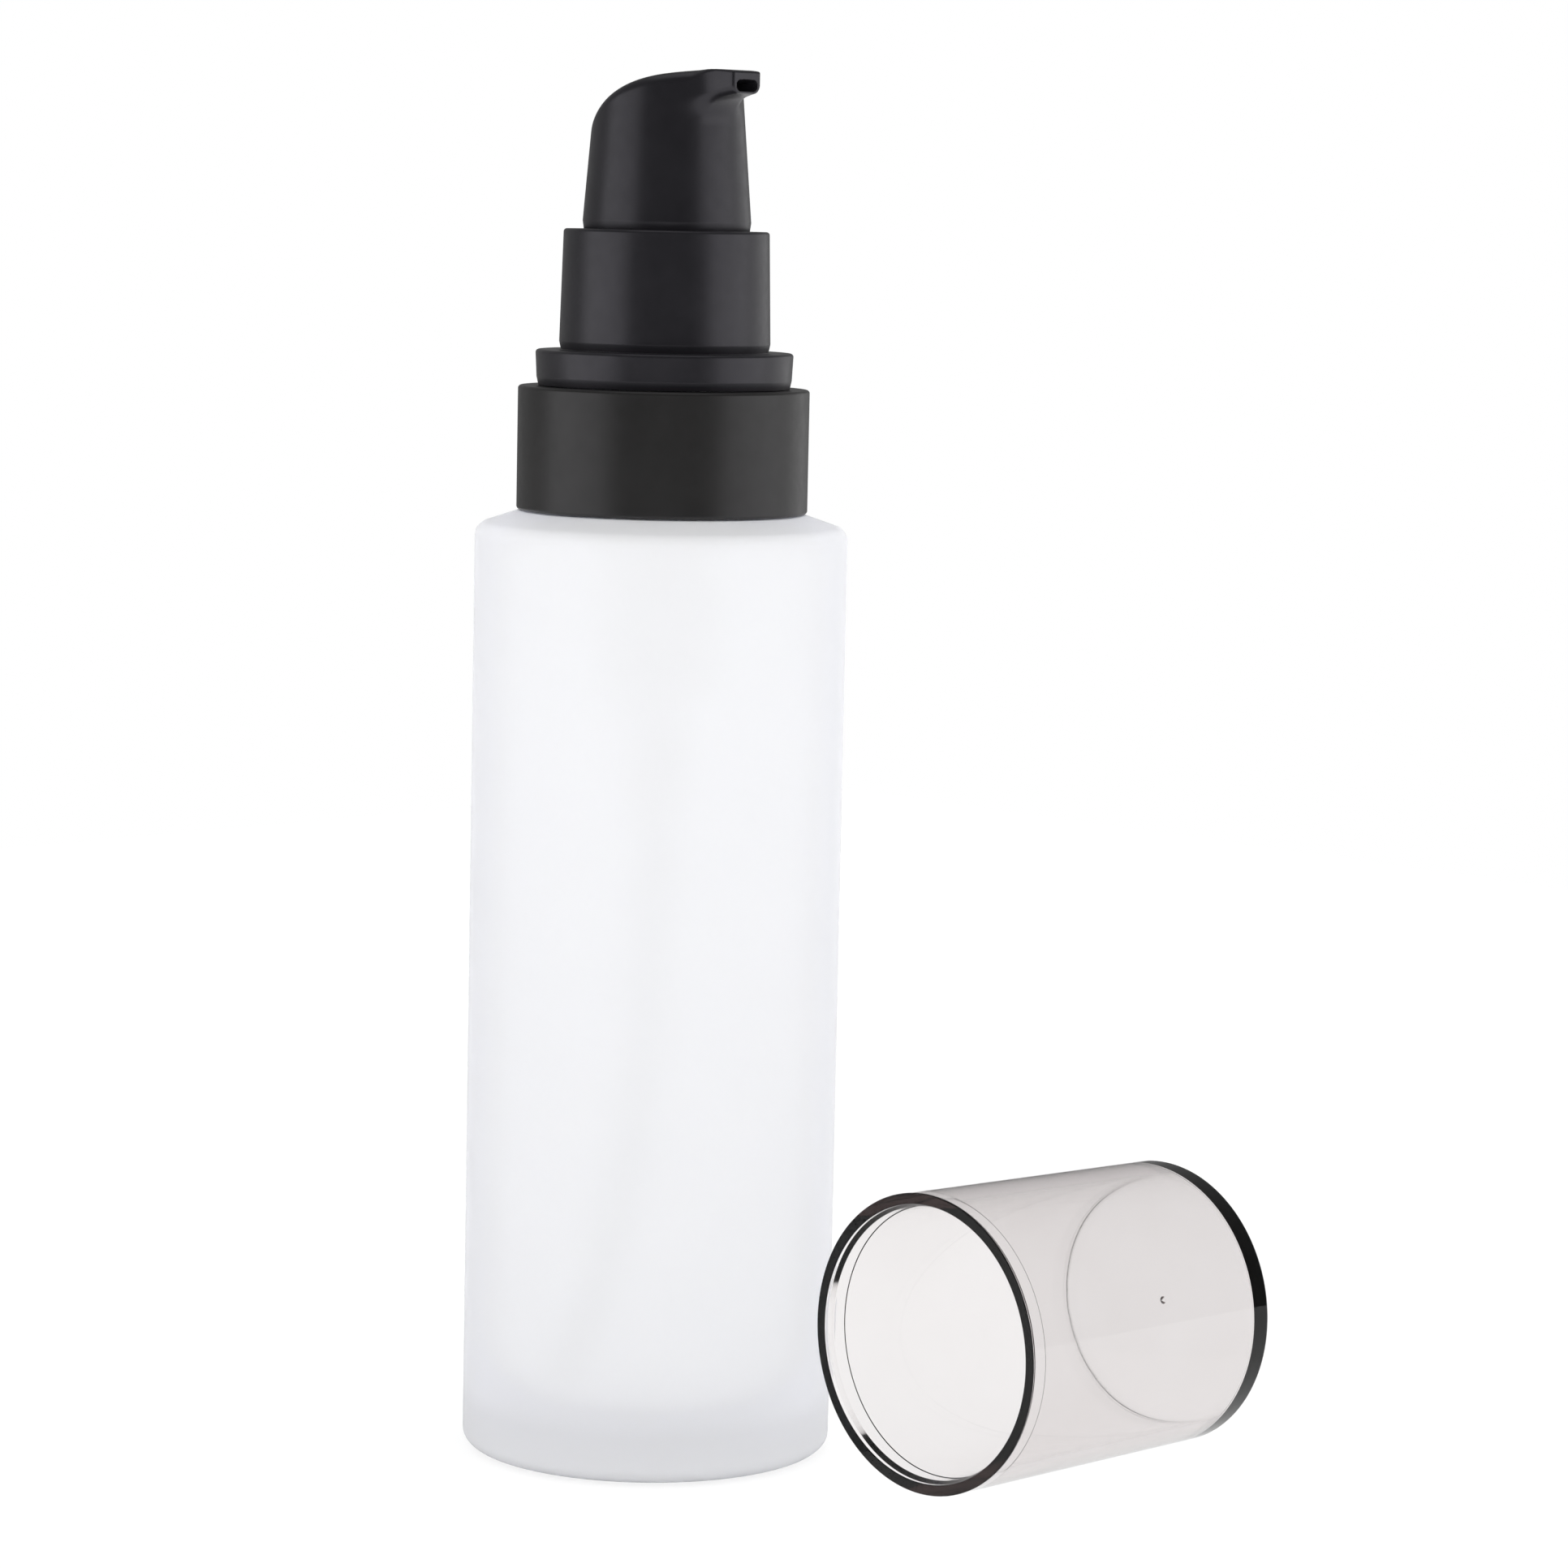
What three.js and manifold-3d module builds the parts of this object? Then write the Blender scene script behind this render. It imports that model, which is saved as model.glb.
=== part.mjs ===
// Lotion pump bottle in millimetres, +Z up, spout along +X, origin at the centre of the bottle's underside.
// The bottle stands closed by its pump, and the overcap lies on its side next to it.
import * as THREE from "three";
import { mergeVertices } from "three/addons/utils/BufferGeometryUtils.js";
import Module from "manifold-3d";

const wasm = await Module();
wasm.setup();

// Bottle
const bottleRadius = 20;
const bottleWall = 2.6;
const baseThickness = 6.2;
const bodyHeight = 101.4;
const heelRadius = 1.5;
const shoulderRadius = 2.4;
const shoulderDrop = 0.5;
const neckStepGap = 0.1;
const shoulderSlopeRun = 1.1;
const shoulderSlopeInset = 0.3;
const floorRadius = 4;
const neckHeight = 12.6;
const neckRadius = 10.95;
const neckBore = 8.2;
const neckRootRadius = 2.4;
const lipRadius = 0.6;

// Screw thread of the neck and the closure
const threadPitch = 3.175;
const threadTurns = 1.5;
const threadDepth = 1.05;
const threadBase = 1.9;
const threadCrest = 0.8;
const threadStart = 4;
const threadPlay = 0.45;
const closureThreadBase = 1.3;
const closureThreadCrest = 0.6;
const threadFade = 0.12;

// Stack of seats on the neck
const seatGap = 0.05;
const pressFit = 0.3;
const gasketThickness = 1;
const flangeThickness = 1.2;
const webThickness = 1.2;
const plateThickness = 1.3;

// Closure, collar and guide sleeve
const closureWall = 1.6;
const bossWall = 1;
const bossFit = 0.3;
const threadRoof = 1.7;
const collarWall = 1.25;
const collarGap = 0.4;
const collarHeight = 13.25;
const collarFlange = 1.2;
const closureInset = 0.6;
const edgeRound = 0.35;
const ringWall = 1.1;
const ringFlare = 0.15;
const sleeveHeight = 12.85;
const sleeveWall = 1.35;
const sleeveDraft = 0.31;
const sleevePlay = 0.45;

// Pump barrel
const barrelRadius = 6.4;
const barrelWall = 1.2;
const barrelRise = 3.25;
const barrelDepth = 31;
const webPlay = 0.35;
const ballPocketRadius = 2.9;
const ballPocketDepth = 3.7;
const inletBore = 1.3;
const inletLength = 1.5;
const tubeSocketDepth = 7.2;
const tailWall = 1.3;
const tailTaper = 2.6;

// Lock ring
const lockFlange = 1.2;
const lockPlugDepth = 2.95;
const lockFit = 0.12;
const stemPlay = 0.3;

// Stem, plug and piston
const stroke = 7;
const stemRadius = 2.7;
const stemBore = 1.3;
const stemFootRadius = 2.05;
const stemFootLength = 4.85;
const stopRadius = 4.3;
const stopThickness = 1.15;
const stopGap = 0.1;
const portRadius = 0.6;
const portRise = 2.6;
const pistonSlip = 1;
const slipRelief = 0.15;
const pistonHeight = 6.9;
const lipHeight = 1.5;
const lipReturn = 0.6;
const runningFit = 0.1;
const boreFit = 0.2;
const spigotLength = 1.1;
const spigotFit = 0.08;
const plugNeck = 3.2;
const plugCone = 1.3;
const plugRadius = 4.3;
const plugFoot = 1.2;
const springPilotRadius = 2.6;
const springPilot = 2.2;

// Return spring
const springRadius = 3.7;
const wireRadius = 0.42;
const springCurls = 7;
const springEndCurls = 1;
const springEndGap = 0.5;

// Inlet valve
const ballRadius = 1.9;
const ballGap = 0.15;
const retainerThickness = 1;
const retainerFit = 0.15;
const retainerBore = 1.2;
const retainerHole = 0.6;
const retainerHoleReach = 2.6;
const retainerHoles = 4;

// Dip tube
const tubeRadius = 2.2;
const tubeBore = 1.5;
const tubeFit = 0.15;
const tubeTopGap = 0.2;
const tubeWallGap = 4.8;
const tubeFloorGap = 2.3;
const tubeStraight = 32;
const tubeSweepRise = 14;
const tubeSweepReach = 2;

// Press head
const headRise = 11.25;
const headRadius = 8.15;
const headTaper = 0.0805;
const headWall = 1.15;
const crownRise = 5.62;
const crownReach = 9.25;
const crownRadius = 20.9;
const crownEdge = 1.2;
const crownWall = 2;
const beakReach = 12.05;
const beakWidth = 3.9;
const beakTip = 2.3;
const beakSlope = 0.27;
const beakFlare = 0.2;
const beakStart = 1.2;
const beakEdge = 0.4;
const beakSink = 0.08;
const outletWidth = 2.8;
const outletHeight = 1.1;
const outletDrop = 1.67;
const outletStraight = 6.5;
const outletFall = 0.64;
const skirtGap = 0.5;
const socketGap = 0.65;
const socketWall = 1.25;
const socketFit = 0.06;
const stemDrop = 2.1;
const roofDrop = 1.2;

// Overcap
const capFit = 0.75;
const capWall = 1.6;
const capEnd = 1.3;
const capHeadroom = 2.68;
const capDraft = 0.5;
const capLipDepth = 0.45;
const capLipSlope = 0.6;
const capLipStep = 0.4;
const capEdge = 0.3;
const gateRadius = 0.42;
const gateDepth = 0.5;
const capMouthY = 7;
const capBottleGap = 0.6;

// Facets round the large and the small turned pieces
const wideSides = 40;
const narrowSides = 24;

// Heights that follow from the sizes above
const neckTop = bodyHeight + neckHeight;
const gasketBottom = neckTop + seatGap;
const gasketTop = gasketBottom + gasketThickness;
const flangeBottom = gasketTop + seatGap;
const flangeTop = flangeBottom + flangeThickness;
const webBottom = flangeTop + seatGap;
const webTop = webBottom + webThickness;
const plateBottom = webTop + seatGap;
const plateTop = plateBottom + plateThickness;
const sleeveTop = plateTop + sleeveHeight;
const collarBottom = bodyHeight + collarGap;
const collarTop = collarBottom + collarHeight;
const barrelTop = flangeTop + barrelRise;
const barrelFloor = flangeBottom - barrelDepth;
const pocketFloor = barrelFloor - ballPocketDepth;
const inletTop = pocketFloor - (ballPocketRadius - inletBore);
const socketRoof = inletTop - inletLength;
const tailBottom = socketRoof - tubeSocketDepth;
const lockSeat = barrelTop + seatGap;
const lockTop = lockSeat + lockFlange;
const lockBottom = lockSeat - lockPlugDepth;
const stopTop = lockBottom - stopGap;
const stopBottom = stopTop - stopThickness;
const stemFootBottom = stopBottom - stemFootLength;
const pistonTop = stopBottom - pistonSlip - slipRelief;
const pistonBottom = pistonTop - pistonHeight;
const plugTop = stemFootBottom - seatGap;
const plugConeTop = plugTop - plugNeck;
const plugConeBottom = plugConeTop - plugCone;
const plugBottom = plugConeBottom - plugFoot;
const headWallTop = sleeveTop + headRise;
const crownTop = headWallTop + crownRise;
const skirtBottom = plateTop + stroke + skirtGap;
const socketBottom = lockTop + stroke + socketGap;
const stemTop = headWallTop - stemDrop;
const outletZ = crownTop - outletDrop;
const channelZ = outletZ - outletFall * outletStraight;

// Radii that follow from the sizes above
const barrelBore = barrelRadius - barrelWall;
const flangeRadius = neckRadius - bossFit;
const closureBore = neckRadius + threadDepth + threadPlay;
const closureRadius = closureBore + closureWall;
const bossBore = neckRadius + bossFit;
const bossRadius = bossBore + bossWall;
const collarBore = closureRadius + pressFit;
const collarRadius = collarBore + collarWall;
const ringBore = bossRadius + pressFit;
const ringRadius = ringBore + ringWall;
const webBore = barrelRadius + webPlay;
const stemHole = stemRadius + stemPlay;
const skirtRadius = headRadius + headTaper * (headWallTop - skirtBottom);
const sleeveBore = skirtRadius + sleevePlay;
const sleeveRadius = sleeveBore + sleeveWall;
const tubeSocket = tubeRadius + tubeFit;
const tailRadius = tubeSocket + tailWall;
const socketBore = stemRadius + socketFit;
const capBore = ringRadius + capFit;
const capRadius = capBore + capWall;
const capDepth = crownTop - collarTop + capHeadroom;
const capLength = capDepth + capEnd;

// Outline points as pairs of radius and height, with round stretches as arcs.
function arc(r, z, radius, from, to, steps) {
  return Array.from({ length: steps + 1 }, (_, i) => {
    const a = THREE.MathUtils.degToRad(from + ((to - from) * i) / steps);
    return [r + radius * Math.cos(a), z + radius * Math.sin(a)];
  });
}

// One closed triangle mesh whose faces point outwards.
function closed(geometry) {
  const bare = new THREE.BufferGeometry();
  bare.setAttribute("position", geometry.getAttribute("position"));
  if (geometry.index) {
    bare.setIndex(geometry.index);
  }
  const merged = mergeVertices(bare, 1e-3);
  const p = merged.getAttribute("position");
  const kept = [];
  let volume = 0;
  const a = new THREE.Vector3();
  const b = new THREE.Vector3();
  const c = new THREE.Vector3();
  for (let i = 0; i < merged.index.count; i += 3) {
    const [u, v, w] = [0, 1, 2].map((k) => merged.index.getX(i + k));
    if (u === v || v === w || w === u) {
      continue;
    }
    kept.push([u, v, w]);
    a.fromBufferAttribute(p, u);
    b.fromBufferAttribute(p, v);
    c.fromBufferAttribute(p, w);
    volume += a.dot(b.cross(c));
  }
  merged.setIndex((volume < 0 ? kept.map(([u, v, w]) => [u, w, v]) : kept).flat());
  return merged;
}

// A solid of revolution about Z from an outline that closes on itself or on the axis.
function turned(outline, sides) {
  const points = outline.map(([r, z]) => new THREE.Vector2(Math.max(r, 0), z));
  if (points[0].x > 0 || points.at(-1).x > 0) {
    points.push(points[0].clone());
  }
  const lathe = new THREE.LatheGeometry(points, sides);
  return closed(lathe.rotateX(Math.PI / 2));
}

function toSolid(geometry) {
  const g = closed(geometry);
  return new wasm.Manifold(
    new wasm.Mesh({
      numProp: 3,
      vertProperties: new Float32Array(g.getAttribute("position").array),
      triVerts: new Uint32Array(g.index.array),
    }),
  );
}

function toGeometry(solid) {
  const mesh = solid.getMesh();
  const g = new THREE.BufferGeometry();
  g.setAttribute("position", new THREE.BufferAttribute(new Float32Array(mesh.vertProperties), 3));
  g.setIndex(new THREE.BufferAttribute(new Uint32Array(mesh.triVerts), 1));
  return g;
}

// The ridge of a screw thread, standing on radius root and ending at radius crest, faded at both ends.
function ridge(root, crest, baseWidth, crestWidth, startZ) {
  const steps = Math.round(wideSides * threadTurns);
  const sunk = root + Math.sign(root - crest) * pressFit;
  const spots = [];
  for (let i = 0; i <= steps; i++) {
    const t = i / steps;
    const angle = t * threadTurns * 2 * Math.PI;
    const z = startZ + t * threadTurns * threadPitch;
    const full = Math.min(1, 0.1 + Math.min(t, 1 - t) / threadFade);
    const top = root + (crest - root) * full;
    for (const [r, dz] of [
      [sunk, -baseWidth / 2],
      [top, -crestWidth / 2],
      [top, crestWidth / 2],
      [sunk, baseWidth / 2],
    ]) {
      spots.push(r * Math.cos(angle), r * Math.sin(angle), z + dz);
    }
  }
  const faces = [0, 1, 2, 0, 2, 3];
  for (let i = 0; i < steps; i++) {
    for (let k = 0; k < 4; k++) {
      const a = 4 * i + k;
      const b = 4 * i + ((k + 1) % 4);
      faces.push(a, a + 4, b, b, a + 4, b + 4);
    }
  }
  const last = 4 * steps;
  faces.push(last, last + 2, last + 1, last, last + 3, last + 2);
  const g = new THREE.BufferGeometry();
  g.setAttribute("position", new THREE.Float32BufferAttribute(spots, 3));
  g.setIndex(faces);
  return closed(g);
}

// A flat outline in Y and Z carried along X.
function alongX(shape, from, to, steps = 1) {
  const g = new THREE.ExtrudeGeometry(shape, {
    depth: to - from,
    steps,
    bevelEnabled: false,
    curveSegments: 6,
  });
  const swap = new THREE.Matrix4().set(0, 0, 1, from, 1, 0, 0, 0, 0, 1, 0, 0, 0, 0, 0, 1);
  return g.applyMatrix4(swap);
}

function bottleGeometry() {
  const inner = bottleRadius - bottleWall;
  const shoulder = bodyHeight - shoulderDrop;
  const roof = shoulder - bottleWall;
  const stepTop = collarBottom - neckStepGap;
  const outline = [
    [0, 0],
    ...arc(bottleRadius - heelRadius, heelRadius, heelRadius, -90, 0, 3),
    ...arc(bottleRadius - shoulderRadius, shoulder - shoulderRadius, shoulderRadius, 0, 90, 4),
    [collarRadius + shoulderSlopeRun, shoulder],
    [collarRadius - shoulderSlopeInset, stepTop],
    [neckRadius, stepTop],
    ...arc(neckRadius - lipRadius, neckTop - lipRadius, lipRadius, 0, 90, 2),
    [neckBore, neckTop],
    ...arc(neckBore + neckRootRadius, bodyHeight, neckRootRadius, 180, 270, 2),
    ...arc(inner - shoulderRadius, roof - shoulderRadius, shoulderRadius, 90, 0, 3),
    ...arc(inner - floorRadius, baseThickness + floorRadius, floorRadius, 0, -90, 3),
    [0, baseThickness],
  ];
  const thread = ridge(
    neckRadius,
    neckRadius + threadDepth,
    threadBase,
    threadCrest,
    bodyHeight + threadStart,
  );
  return toGeometry(toSolid(turned(outline, wideSides)).add(toSolid(thread)));
}

function gasketGeometry() {
  const bore = barrelRadius + pressFit;
  const outline = [
    [bore, gasketBottom],
    [flangeRadius, gasketBottom],
    [flangeRadius, gasketTop],
    [bore, gasketTop],
  ];
  return turned(outline, narrowSides);
}

function closureGeometry() {
  const bottom = collarBottom + closureInset;
  const shoulder = collarTop - collarFlange - seatGap;
  const outline = [
    [closureBore, bottom],
    [closureRadius, bottom],
    [closureRadius, shoulder],
    [bossRadius, shoulder],
    [bossRadius, webTop],
    [webBore, webTop],
    [webBore, webBottom],
    [bossBore, webBottom],
    [bossBore, shoulder - threadRoof],
    [closureBore, shoulder - threadRoof],
  ];
  const thread = ridge(
    closureBore,
    neckRadius + threadPlay,
    closureThreadBase,
    closureThreadCrest,
    bodyHeight + threadStart - threadPitch / 2,
  );
  return toGeometry(toSolid(turned(outline, wideSides)).add(toSolid(thread)));
}

function collarGeometry() {
  const outline = [
    [collarBore, collarBottom],
    ...arc(collarRadius - edgeRound, collarBottom + edgeRound, edgeRound, -90, 0, 2),
    ...arc(collarRadius - edgeRound, collarTop - edgeRound, edgeRound, 0, 90, 2),
    [ringBore, collarTop],
    [ringBore, collarTop - collarFlange],
    [collarBore, collarTop - collarFlange],
  ];
  return turned(outline, wideSides);
}

function sleeveGeometry() {
  const ringBottom = collarTop + seatGap;
  const flared = ringRadius + ringFlare;
  const top = sleeveRadius - sleeveDraft;
  const outline = [
    [ringBore, ringBottom],
    [ringRadius, ringBottom],
    ...arc(flared - edgeRound, plateTop - edgeRound, edgeRound, 0, 90, 2),
    [sleeveRadius, plateTop],
    ...arc(top - edgeRound, sleeveTop - edgeRound, edgeRound, 0, 90, 2),
    [sleeveBore, sleeveTop],
    [sleeveBore, plateTop],
    [webBore, plateTop],
    [webBore, plateBottom],
    [ringBore, plateBottom],
  ];
  return turned(outline, wideSides);
}

function housingGeometry() {
  const shell = barrelFloor - barrelWall;
  const outline = [
    [barrelBore, barrelTop],
    [barrelBore, barrelFloor],
    [ballPocketRadius, barrelFloor],
    [ballPocketRadius, pocketFloor],
    [inletBore, inletTop],
    [inletBore, socketRoof],
    [tubeSocket, socketRoof],
    [tubeSocket, tailBottom],
    [tailRadius, tailBottom],
    [tailRadius, shell - tailTaper],
    [barrelRadius, shell],
    [barrelRadius, flangeBottom],
    [flangeRadius, flangeBottom],
    [flangeRadius, flangeTop],
    [barrelRadius, flangeTop],
    [barrelRadius, barrelTop],
  ];
  return turned(outline, narrowSides);
}

function lockRingGeometry() {
  const outline = [
    [stemHole, lockBottom],
    [barrelBore - lockFit, lockBottom],
    [barrelBore - lockFit, lockSeat],
    [barrelRadius, lockSeat],
    [barrelRadius, lockTop],
    [stemHole, lockTop],
  ];
  return turned(outline, narrowSides);
}

function stemGeometry() {
  const outline = [
    [stemBore, stemFootBottom],
    [stemFootRadius, stemFootBottom],
    [stemFootRadius, stopBottom],
    [stopRadius, stopBottom],
    [stopRadius, stopTop],
    [stemRadius, stopTop],
    [stemRadius, stemTop],
    [stemBore, stemTop],
  ];
  const port = new THREE.CylinderGeometry(portRadius, portRadius, 2 * stemRadius, 8);
  port.translate(0, 0, stemFootBottom + portRise);
  return toGeometry(toSolid(turned(outline, narrowSides)).subtract(toSolid(port)));
}

function pistonGeometry() {
  const lip = barrelBore - runningFit;
  const waist = lip - lipReturn;
  const bore = stemFootRadius + boreFit;
  const outline = [
    [bore, pistonBottom],
    [lip, pistonBottom],
    [lip, pistonBottom + lipHeight],
    [waist, pistonBottom + lipHeight + lipReturn],
    [waist, pistonTop - lipHeight - lipReturn],
    [lip, pistonTop - lipHeight],
    [lip, pistonTop],
    [bore, pistonTop],
  ];
  return turned(outline, narrowSides);
}

function plugGeometry() {
  const spigot = stemBore - spigotFit;
  const outline = [
    [0, plugBottom - springPilot],
    [springPilotRadius, plugBottom - springPilot],
    [springPilotRadius, plugBottom],
    [plugRadius, plugBottom],
    [plugRadius, plugConeBottom],
    [stemFootRadius, plugConeTop],
    [stemFootRadius, plugTop],
    [spigot, plugTop],
    [spigot, plugTop + spigotLength],
    [0, plugTop + spigotLength],
  ];
  return turned(outline, narrowSides);
}

// A wire coil whose last curls at both ends close up to a flat seat.
class CoilCurve extends THREE.Curve {
  constructor(bottom, top) {
    super();
    this.bottom = bottom + wireRadius;
    this.top = top - wireRadius;
  }

  getPoint(t, target = new THREE.Vector3()) {
    const curls = springCurls + 2 * springEndCurls;
    const turn = t * curls;
    const endRise = springEndCurls * (2 * wireRadius + springEndGap);
    const middle = this.top - this.bottom - 2 * endRise;
    const first = Math.min(turn, springEndCurls) / springEndCurls;
    const body = Math.min(Math.max(turn - springEndCurls, 0), springCurls) / springCurls;
    const last = Math.max(turn - springEndCurls - springCurls, 0) / springEndCurls;
    const z = this.bottom + endRise * (first + last) + middle * body;
    const angle = 2 * Math.PI * turn;
    return target.set(springRadius * Math.cos(angle), springRadius * Math.sin(angle), z);
  }
}

function springGeometry() {
  const bottom = barrelFloor + 2 * seatGap + retainerThickness;
  const coil = new CoilCurve(bottom + seatGap, plugBottom - seatGap);
  const steps = 10 * (springCurls + 2 * springEndCurls);
  coil.arcLengthDivisions = 6 * steps;
  const sides = Array.from({ length: 5 }, (_, i) => {
    const angle = (2 * Math.PI * i) / 5;
    return new THREE.Vector2(wireRadius * Math.cos(angle), wireRadius * Math.sin(angle));
  });
  const settings = { steps, extrudePath: coil };
  return closed(new THREE.ExtrudeGeometry(new THREE.Shape(sides), settings));
}

function ballGeometry() {
  const seatApex = inletTop - inletBore;
  const ball = new THREE.SphereGeometry(ballRadius, 12, 8);
  ball.translate(0, 0, seatApex + ballRadius * Math.SQRT2 + ballGap);
  return closed(ball);
}

function retainerGeometry() {
  const bottom = barrelFloor + seatGap;
  const radius = barrelBore - retainerFit;
  const outline = [
    [retainerBore, bottom],
    [radius, bottom],
    [radius, bottom + retainerThickness],
    [retainerBore, bottom + retainerThickness],
  ];
  let disc = toSolid(turned(outline, narrowSides));
  for (let i = 0; i < retainerHoles; i++) {
    const angle = (2 * Math.PI * i) / retainerHoles;
    const hole = new THREE.CylinderGeometry(retainerHole, retainerHole, 4 * retainerThickness, 8);
    hole.rotateX(Math.PI / 2);
    hole.translate(retainerHoleReach * Math.cos(angle), retainerHoleReach * Math.sin(angle), bottom);
    disc = disc.subtract(toSolid(hole));
  }
  return toGeometry(disc);
}

function tubeGeometry() {
  const top = socketRoof - tubeTopGap;
  const endY = -(bottleRadius - bottleWall - tubeWallGap);
  const endZ = baseThickness + tubeFloorGap;
  const path = new THREE.CubicBezierCurve3(
    new THREE.Vector3(0, 0, top),
    new THREE.Vector3(0, 0, top - tubeStraight),
    new THREE.Vector3(0, -tubeSweepReach, endZ + tubeSweepRise),
    new THREE.Vector3(0, endY, endZ),
  );
  const ring = new THREE.Shape().absarc(0, 0, tubeRadius, 0, 2 * Math.PI);
  ring.holes.push(new THREE.Path().absarc(0, 0, tubeBore, 0, 2 * Math.PI));
  const settings = { steps: 20, extrudePath: path, curveSegments: 10 };
  return closed(new THREE.ExtrudeGeometry(ring, settings));
}

// Height of the head's arched top, which is highest on the beak and falls away to the back.
function crownHeight(x) {
  return crownTop - (x - crownReach) ** 2 / (2 * crownRadius);
}

// Closed rings of points joined in order, with a pole at each end.
function ringed(rings, firstPole, lastPole) {
  const sides = rings[0].length;
  const spots = [...rings.flat(), firstPole, lastPole];
  const first = spots.length - 2;
  const last = spots.length - 1;
  const top = (rings.length - 1) * sides;
  const faces = [];
  for (let i = 0; i < sides; i++) {
    const k = (i + 1) % sides;
    faces.push(first, k, i, last, top + i, top + k);
    for (let row = 0; row < top; row += sides) {
      faces.push(row + i, row + k, row + sides + i, row + k, row + sides + k, row + sides + i);
    }
  }
  const g = new THREE.BufferGeometry();
  g.setAttribute("position", new THREE.Float32BufferAttribute(spots.flat(), 3));
  g.setIndex(faces);
  return closed(g);
}

// The head's outside without its beak: a tapered wall, and a rounded edge along the arched top.
function crownGeometry() {
  const angles = Array.from({ length: wideSides }, (_, i) => (2 * Math.PI * i) / wideSides);
  const edges = angles.map((a) => {
    let r = headRadius;
    for (let i = 0; i < 6; i++) {
      r = headRadius + headTaper * (headWallTop - crownHeight(r * Math.cos(a)) + crownEdge);
    }
    return r;
  });
  const ring = (radius, height) =>
    angles.map((a, i) => {
      const r = radius(edges[i]);
      return [r * Math.cos(a), r * Math.sin(a), height(r * Math.cos(a))];
    });
  const rounding = [0, 30, 60, 90].map((degrees) => {
    const turn = THREE.MathUtils.degToRad(degrees);
    return ring(
      (edge) => edge - crownEdge * (1 - Math.cos(turn)),
      (x) => crownHeight(x) - crownEdge * (1 - Math.sin(turn)),
    );
  });
  const inside = [0.75, 0.5, 0.25].map((share) => ring((edge) => share * (edge - crownEdge), crownHeight));
  const skirt = ring(
    () => skirtRadius,
    () => skirtBottom,
  );
  return ringed([skirt, ...rounding, ...inside], [0, 0, skirtBottom], [0, 0, crownHeight(0)]);
}

// The flat beak: it carries the arched top on, is round below, and gets thinner and narrower towards its tip.
function beakGeometry() {
  const half = beakWidth / 2;
  const section = new THREE.Shape();
  section.moveTo(half - beakEdge, 0);
  section.lineTo(beakEdge - half, 0);
  section.quadraticCurveTo(-half, 0, -half, -beakEdge);
  section.lineTo(-half, half / 2 - beakTip);
  section.quadraticCurveTo(-half, -beakTip, 0, -beakTip);
  section.quadraticCurveTo(half, -beakTip, half, half / 2 - beakTip);
  section.lineTo(half, -beakEdge);
  section.quadraticCurveTo(half, 0, half - beakEdge, 0);
  const g = alongX(section, beakStart, beakReach, 8);
  const p = g.getAttribute("position");
  for (let i = 0; i < p.count; i++) {
    const fromTip = beakReach - p.getX(i);
    const thicker = 1 + (beakSlope * fromTip) / beakTip;
    const wider = 1 + (beakFlare * fromTip) / half;
    p.setY(i, p.getY(i) * wider);
    p.setZ(i, crownHeight(p.getX(i)) - beakSink + p.getZ(i) * thicker);
  }
  return g;
}

// The room under the head's roof: a tapered hollow, cut off lower where the arched top comes down.
function hollowGeometry() {
  const roof = headWallTop - roofDrop;
  const cone = turned(
    [
      [0, skirtBottom - 1],
      [skirtRadius - headWall, skirtBottom - 1],
      [headRadius - headWall, roof],
      [0, roof],
    ],
    wideSides,
  );
  const arch = new THREE.Shape();
  arch.moveTo(headRadius + 1, skirtBottom - 2);
  for (let i = 0; i <= 12; i++) {
    const x = headRadius + 1 - (i * (headRadius + 1)) / 6;
    arch.lineTo(x, crownHeight(x) - crownWall);
  }
  arch.lineTo(-headRadius - 1, skirtBottom - 2);
  const under = new THREE.ExtrudeGeometry(arch, { depth: 4 * headRadius, bevelEnabled: false });
  under.translate(0, 0, -2 * headRadius);
  return toSolid(cone).intersect(toSolid(under.rotateX(Math.PI / 2)));
}

// The outlet: a flat oval, level in the beak and then falling to the middle of the head.
function outletGeometry() {
  const round = outletHeight / 2;
  const reach = outletWidth / 2 - round;
  const oval = new THREE.Shape();
  oval.absarc(reach, outletZ, round, -Math.PI / 2, Math.PI / 2);
  oval.absarc(-reach, outletZ, round, Math.PI / 2, 1.5 * Math.PI);
  const g = alongX(oval, 0, 2 * outletStraight, 2);
  const p = g.getAttribute("position");
  for (let i = 0; i < p.count; i++) {
    const inwards = Math.max(0, outletStraight - p.getX(i));
    p.setZ(i, p.getZ(i) - outletFall * inwards);
  }
  return g;
}

function headGeometry() {
  const socketRadius = socketBore + socketWall;
  const socket = turned(
    [
      [0, socketBottom],
      [socketRadius, socketBottom],
      [socketRadius, headWallTop],
      [0, headWallTop],
    ],
    narrowSides,
  );
  const seat = turned(
    [
      [0, skirtBottom - 1],
      [socketBore, skirtBottom - 1],
      [socketBore, stemTop + seatGap],
      [stemBore, stemTop + seatGap],
      [stemBore, channelZ],
      [0, channelZ + outletHeight / 2],
    ],
    narrowSides,
  );
  const solid = toSolid(crownGeometry())
    .add(toSolid(beakGeometry()))
    .subtract(hollowGeometry())
    .add(toSolid(socket))
    .subtract(toSolid(seat))
    .subtract(toSolid(outletGeometry()));
  return toGeometry(solid);
}

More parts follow.
